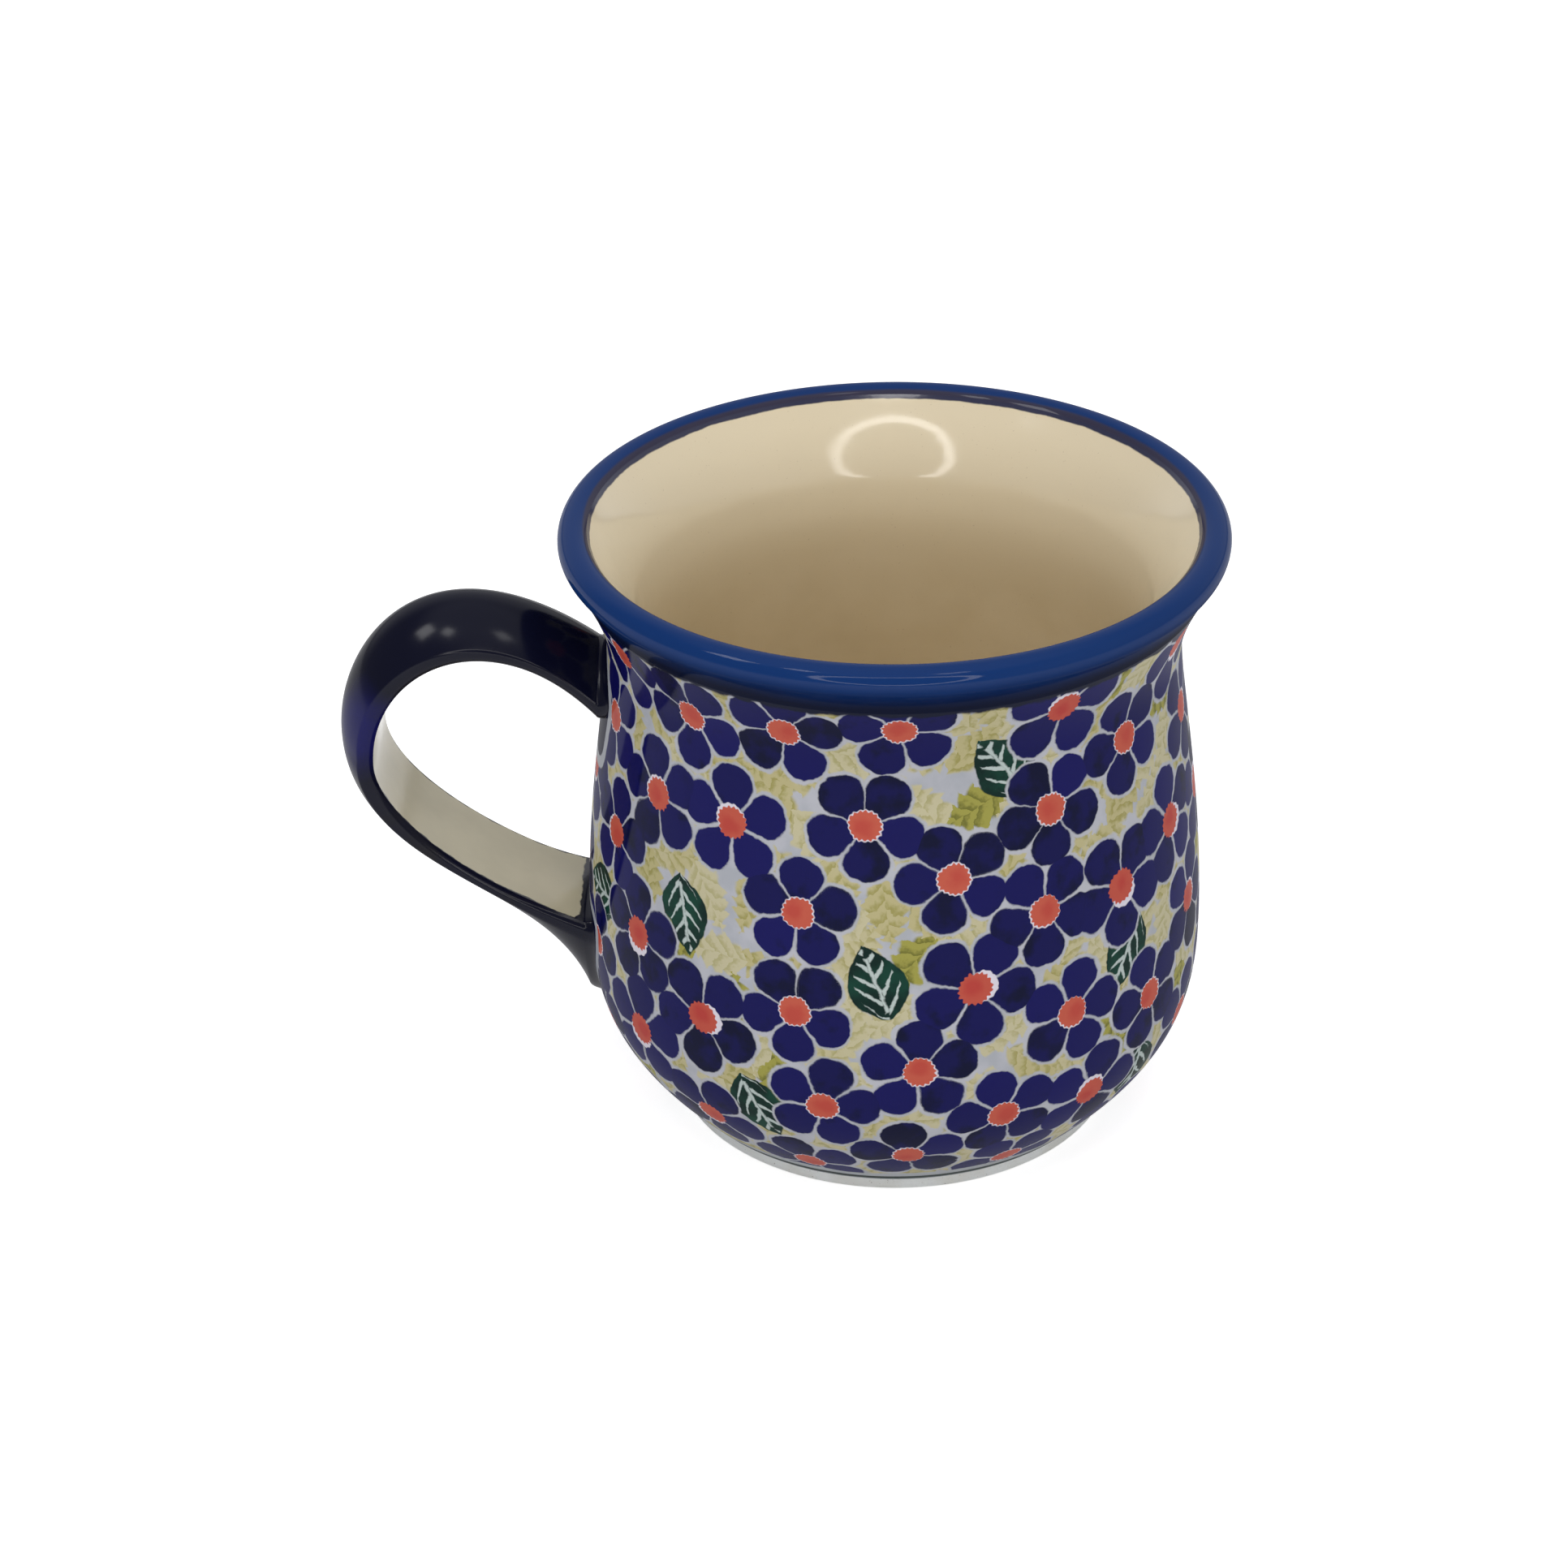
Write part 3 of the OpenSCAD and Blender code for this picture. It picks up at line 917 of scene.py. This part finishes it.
pool_scale = 70
navy_scale = 300
navy_relief = 0.00005
navy_rough = 0.1
navy_rougher = 0.07
navy_black = (0.0036, 0.0042, 0.0150, 1)
navy_blue = (0.006, 0.006, 0.092, 1)
navy_brown = (0.009, 0.008, 0.010, 1)


def seat(low, high):
    """How far from the axis the flat end of the strap stands, clear of the wall between two heights."""
    return slip_t + wall_radius(np.linspace(low, high, seat_looks)).max()


def rail(start, rise, rise_lead, bend, lead_up, lead_down, end, fall, fall_lead):
    """A line of the handle from the neck round the bend to the belly."""
    start, bend, end = np.array(start), np.array(bend), np.array(end)
    return np.vstack([
        bezier(start, start + rise_lead * toward(rise), bend + lead_up * up, bend, rail_steps),
        bezier(bend, bend - lead_down * up, end + fall_lead * toward(fall), end, rail_steps)[1:]])


neck_seat = seat(*neck_joint)
belly_seat = seat(*belly_joint)
grip_bend = (belly_d / 2 + finger_room, bend_height)
crown_bend = (grip_bend[0] + strap_t, bend_height + crown_lift)
grip_rail = rail((neck_seat, neck_joint[0]), grip_rise, grip_rise_lead, grip_bend, grip_lead_up,
                 grip_lead_down, (belly_seat, belly_joint[1]), grip_fall, grip_fall_lead)
crown_rail = rail((neck_seat, neck_joint[1]), crown_rise, crown_rise_lead, crown_bend, crown_lead_up,
                  crown_lead_down, (belly_seat, belly_joint[0]), crown_fall, crown_fall_lead)
rings = 2 * rail_steps
rail_depth = np.linalg.norm(crown_rail - grip_rail, axis=1)
rail_out = (crown_rail - grip_rail) / rail_depth[:, None]
ring_share = np.arange(rings + 1) / rail_steps
above_bend = ring_share < 1
ease = (1 - np.cos(math.pi * np.where(above_bend, ring_share, ring_share - 1))) / 2
end_share = np.minimum(ring_share, 2 - ring_share) / flare_share
strap_w = np.where(above_bend, strap_top_w + (strap_mid_w - strap_top_w) * ease,
                   strap_mid_w + (strap_low_w - strap_mid_w) * ease)
strap_w += joint_spread * np.maximum(0, 1 - end_share)**2


def corners_cut(line, times):
    """A line with its corners rounded off by cutting them again and again."""
    for _ in range(times):
        cut = np.stack([0.75 * line[:-1] + 0.25 * line[1:], 0.25 * line[:-1] + 0.75 * line[1:]], axis=1)
        line = np.vstack([line[:1], cut.reshape(-1, 2), line[-1:]])
    return line


def back_section(ring, inset):
    """The back of the strap with both edges at a ring, as points across and out, sunk by an inset."""
    half = strap_w[ring] / 2 - inset
    v = np.linspace(1, -1, dome_steps + 1)
    dome = np.column_stack([v * half, edge_t + (rail_depth[ring] - inset - edge_t) * (1 - v * v)])
    edge = np.array([[half - edge_round, inset], [half - edge_round / 4, inset + (edge_t - inset) / 3]])
    return corners_cut(np.vstack([edge, dome, edge[::-1] * [-1, 1]]), edge_cuts)


def grip_section(ring, inset):
    """The flat grip face of the strap at a ring, as points across and out, sunk by an inset."""
    half = strap_w[ring] / 2 - inset - edge_round
    return np.column_stack([np.linspace(-half, half, grip_points), np.full(grip_points, float(inset))])


def at_ring(ring, section):
    """Points of a section put in their place on the handle."""
    flat = grip_rail[ring] + section[:, 1:] * rail_out[ring]
    return np.column_stack([-flat[:, 0], section[:, 0], flat[:, 1]])


def lofted(name, loops, crease=50):
    """A closed piece over loops of equal length, each end closed by a strip between the loop's two halves."""
    m = len(loops[0])
    n = len(loops)
    faces = [[i * m + j, (i + 1) * m + j, (i + 1) * m + (j + 1) % m, i * m + (j + 1) % m]
             for i in range(n - 1) for j in range(m)]
    strip = [list(dict.fromkeys([j, j + 1, m - 2 - j, m - 1 - j])) for j in range((m + 1) // 2 - 1)]
    faces += strip
    faces += [[(n - 1) * m + j for j in face[::-1]] for face in strip]
    return piece_from(name, np.vstack(loops), faces, crease)


def coat_loop(section, ring):
    """The loop of a coat over a section of the strap: its face, then its back, a coat's thickness deeper."""
    return at_ring(ring, np.vstack([section(ring, 0), section(ring, coat)[::-1]]))


navy_glaze, shader, place = new_finish("navy_glaze", {"Specular IOR Level": 0, "Coat Weight": 0.33,
                                                       "Coat Roughness": 0.15})
pooled = place.mottle(pool_scale, 3)
blue_gap = place.node("ShaderNodeVectorMath", {"operation": "DISTANCE"}, {0: place, 1: blue_spot}, "Value")
thinner = (blue_gap / mm + (pooled - 0.5) * blue_uneven).rise(blue_from, blue_to)
navy_colour = pooled.rise(brown_from, brown_to).over(thinner.over(navy_black, navy_blue), navy_brown)
feed(shader, {"Base Color": navy_colour,
              "Roughness": navy_rough + navy_rougher * pooled,
              "Normal": place.mottle(navy_scale, 2).relief(navy_relief)})
handle_coat = lofted("handle_coat", [coat_loop(back_section, i) for i in range(rings + 1)])
put_on_mug(handle_coat, navy_glaze, "handle_cobalt_glaze")


# The clear coat on the grip face of the handle, inside the loop, where the clay is left cream. The cobalt has
# run a little way into it from both edges and covers its two ends.
end_dark = 0.7
grip_edge = 0.2
grip_edge_soft = 0.15
grip_edge_uneven = 1.1
grip_cloud_scale = 90
grip_edge_scale = 420
grip_scale = 330
grip_relief = 0.00004
grip_rough = 0.12
grip_rougher = 0.06
grip_shade = (0.58, 0.53, 0.365, 1)
grip_light = (0.645, 0.59, 0.41, 1)

grip_coat = lofted("grip_coat", [coat_loop(grip_section, i) for i in range(rings + 1)])
grip_run = np.append(0, np.cumsum(np.linalg.norm(np.diff(grip_rail, axis=0), axis=1)))
end_room = np.minimum(grip_run, grip_run[-1] - grip_run) - end_dark
edge_room = np.array([np.minimum(np.tile(w / 2 - edge_round - abs(grip_section(i, 0)[:, 0]), 2), end_room[i])
                      for i, w in enumerate(strap_w)])
stored = grip_coat.data.attributes.new("edge_room", "FLOAT", "POINT")
stored.data.foreach_set("value", edge_room.astype(np.float32).ravel())
grip_glaze, shader, place = new_finish("grip_glaze", {"IOR": 1.52})
cloud = place.mottle(grip_cloud_scale, 3).rise(0.3, 0.7)
run_in = place.node("ShaderNodeAttribute", {"attribute_name": "edge_room"}, {}, "Fac")
run_in = run_in + (place.mottle(grip_edge_scale, 3) - 0.5) * grip_edge_uneven
run_in = run_in.inside(grip_edge, grip_edge_soft)
feed(shader, {"Base Color": run_in.over(cloud.over(grip_light, grip_shade), navy_black),
              "Roughness": grip_rough + grip_rougher * cloud,
              "Normal": place.mottle(grip_scale, 2).relief(grip_relief)})
put_on_mug(grip_coat, grip_glaze, "grip_glaze")


# The two joints of the handle, slip pressed round the ends of the strap and smoothed with a wet finger, so
# that the strap flows into the wall. The cobalt runs down over them onto the belly.
joint_steps = 14
joint_sink = 0.12
joint_proud = 0.03
grip_reach = 0.3
back_reach = 0.4
slip_share = 0.45


def closed_section(ring):
    """The whole section of the strap at a ring, once round: its back with both edges, then its grip face."""
    return np.vstack([back_section(ring, 0), grip_section(ring, 0)[1:-1]])


def outward(loop):
    """The directions that point out of a closed loop of flat points, one at each point."""
    along = np.roll(loop, -1, axis=0) - np.roll(loop, 1, axis=0)
    along /= np.linalg.norm(along, axis=1)[:, None]
    turning = (loop[:, 0] * np.roll(loop[:, 1], -1) - loop[:, 1] * np.roll(loop[:, 0], -1)).sum()
    return np.column_stack([along[:, 1], -along[:, 0]]) * np.sign(turning)


def joint_piece(name, ring, inward, node):
    """The smoothed slip round an end of the strap, which runs on from its skin and bends onto the wall."""
    section = closed_section(ring)
    on_back = np.clip(section[:, 1] / edge_t, 0, 1)
    start = at_ring(ring, section + joint_proud * outward(section))
    run = at_ring(ring, section) - at_ring(ring + inward, closed_section(ring + inward))
    run /= np.linalg.norm(run, axis=1)[:, None]
    edge = start[:, 1:]
    corner = on_wall(edge[:, 0], edge[:, 1])
    gap = np.linalg.norm(corner - start, axis=1)
    reach = grip_reach + on_back * (back_reach + slip_share * gap)
    spread = edge + reach[:, None] * outward(edge)
    foot = on_wall(spread[:, 0], spread[:, 1]) + [joint_sink, 0, 0]
    lead = start + slip_share * gap[:, None] * run
    turn_in = (corner + foot) / 2
    loops = [(1 - t)**3 * start + 3 * t * (1 - t)**2 * lead + 3 * t * t * (1 - t) * turn_in + t**3 * foot
             for t in np.linspace(0, 1, joint_steps + 1)]
    loops.append(foot + [joint_sink, 0, 0])
    put_on_mug(lofted(name, loops if inward > 0 else loops[::-1]), navy_glaze, node)


joint_piece("neck_joint", 0, 1, "upper_slip_joint")
joint_piece("belly_joint", rings, -1, "lower_slip_joint")


# The stage: a pale floor that keeps the mug's shadow, a room that is soft light all round, three small
# windows, a ring lamp, and a camera inside that ring, which looks down from the photograph's angle.
floor_half = 4
paper_grey = (0.8, 0.8, 0.8, 1)
paper_glow = (0.66, 0.66, 0.66, 1)
black = (0, 0, 0, 1)
camera_far = 0.5587
camera_rise = 30.4
camera_level = 0.0451
focal_px = 4674
frame_px = 1932
axis_px = (1101.2, 995.0)
sensor_mm = 36

floor_mesh = bpy.data.meshes.new("floor")
floor_corners = [(-floor_half, -floor_half, 0), (floor_half, -floor_half, 0),
                 (floor_half, floor_half, 0), (-floor_half, floor_half, 0)]
floor_mesh.from_pydata(floor_corners, [], [[0, 1, 2, 3]])
floor = bpy.data.objects.new("floor", floor_mesh)
bpy.context.collection.objects.link(floor)
paper, shader, place = new_finish("pale_paper", {"Base Color": paper_grey, "Roughness": 0.9,
                                                 "Specular IOR Level": 0, "Emission Strength": 1})
rays = place.node("ShaderNodeLightPath", {}, {}, "Is Camera Ray")
seen = rays.most(rays.also("Is Glossy Ray")).most(rays.also("Is Transmission Ray"))
feed(shader, {"Emission Color": seen.over(black, paper_glow)})
floor_mesh.materials.append(paper)

room_dim = (0.34, 0.34, 0.35, 1)
room_left = (0.28, 0.28, 0.29, 1)
room_right = (0.60, 0.60, 0.60, 1)
room_back = (0.80, 0.81, 0.84, 1)
room_top = (0.85, 0.86, 0.90, 1)
room_low = (0.4, 0.4, 0.4, 1)
side_from = 0.35
side_to = 0.8
back_from = 0.3
back_to = 0.75
top_from = 0.72
top_to = 0.94
low_from = 0.12
low_to = 0.02
world = bpy.data.worlds.new("studio")
bpy.context.scene.world = world
world.use_nodes = True
sky = Tone(world.node_tree.nodes.new("ShaderNodeTexCoord").outputs["Generated"])
x, y, z = sky.parts()
room = x.rise(-side_from, -side_to).over(room_dim, room_left)
room = x.rise(side_from, side_to).over(room, room_right)
room = y.rise(back_from, back_to).over(room, room_back)
room = z.rise(top_from, top_to).over(room, room_top)
room = z.rise(low_from, low_to).over(room, room_low)
feed(world.node_tree.nodes["Background"], {"Color": room, "Strength": 1})

camera = bpy.data.objects.new("camera", bpy.data.cameras.new("camera"))
bpy.context.collection.objects.link(camera)
rise = math.radians(camera_rise)
stand = Vector((0, -camera_far * math.cos(rise), camera_level + camera_far * math.sin(rise)))
ahead = Vector((0, math.cos(rise), -math.sin(rise)))
side = Vector((1, 0, 0))
over = side.cross(ahead)
half_px = frame_px / 2
aim = (ahead * focal_px + side * (half_px - axis_px[0]) + over * (axis_px[1] - half_px)).normalized()
to_cup = Vector((0, 0, camera_level)) - stand
plumb = Vector((0, 0, to_cup.dot(aim))) - to_cup * aim.z
across = aim.cross(plumb).normalized()
if across.x < 0:
    across = -across
pose = Matrix((across, across.cross(aim), -aim)).transposed().to_4x4()
camera.matrix_world = Matrix.Translation(stand) @ pose
camera.data.sensor_width = sensor_mm
camera.data.lens = focal_px / frame_px * sensor_mm
bpy.context.scene.camera = camera
bpy.context.scene.view_settings.view_transform = "Standard"


def window(name, turn, height, far, size, watts):
    """A small soft lamp in the direction of a turn and a height in degrees, facing the mug."""
    lamp = bpy.data.lights.new(name, "AREA")
    lamp.energy = watts
    lamp.size = size
    box = bpy.data.objects.new(name, lamp)
    turn, height = math.radians(turn), math.radians(height)
    out = Vector((math.sin(turn) * math.cos(height), -math.cos(turn) * math.cos(height), math.sin(height)))
    box.location = far * out
    box.rotation_euler = (-out).to_track_quat("-Z", "Y").to_euler()
    bpy.context.collection.objects.link(box)


window("left_window", turn=-70, height=52, far=1.6, size=0.30, watts=2.2)
window("roof_window", turn=-45, height=61, far=1.6, size=0.18, watts=0.8)
window("right_window", turn=33, height=68, far=1.6, size=0.18, watts=0.5)

ring_steps = 96
ring_glow = 7
ring_in_r = 0.213
ring_out_r = 0.255
ring_behind = 0.01
ring_warm = (1, 0.98, 0.95, 1)
ring_turns = np.arange(ring_steps) * 2 * math.pi / ring_steps
ring_points = [camera.matrix_world @ Vector((r * math.cos(a), r * math.sin(a), ring_behind))
               for r in (ring_in_r, ring_out_r) for a in ring_turns]
ring_faces = [[j, ring_steps + j, ring_steps + (j + 1) % ring_steps, (j + 1) % ring_steps]
              for j in range(ring_steps)]
ring_mesh = bpy.data.meshes.new("ring_lamp")
ring_mesh.from_pydata(ring_points, [], ring_faces)
ring = bpy.data.objects.new("ring_lamp", ring_mesh)
bpy.context.collection.objects.link(ring)
ring_finish = new_finish("ring_lamp", {"Base Color": black, "Emission Color": ring_warm,
                                       "Emission Strength": ring_glow})[0]
ring_mesh.materials.append(ring_finish)
ring.visible_camera = False
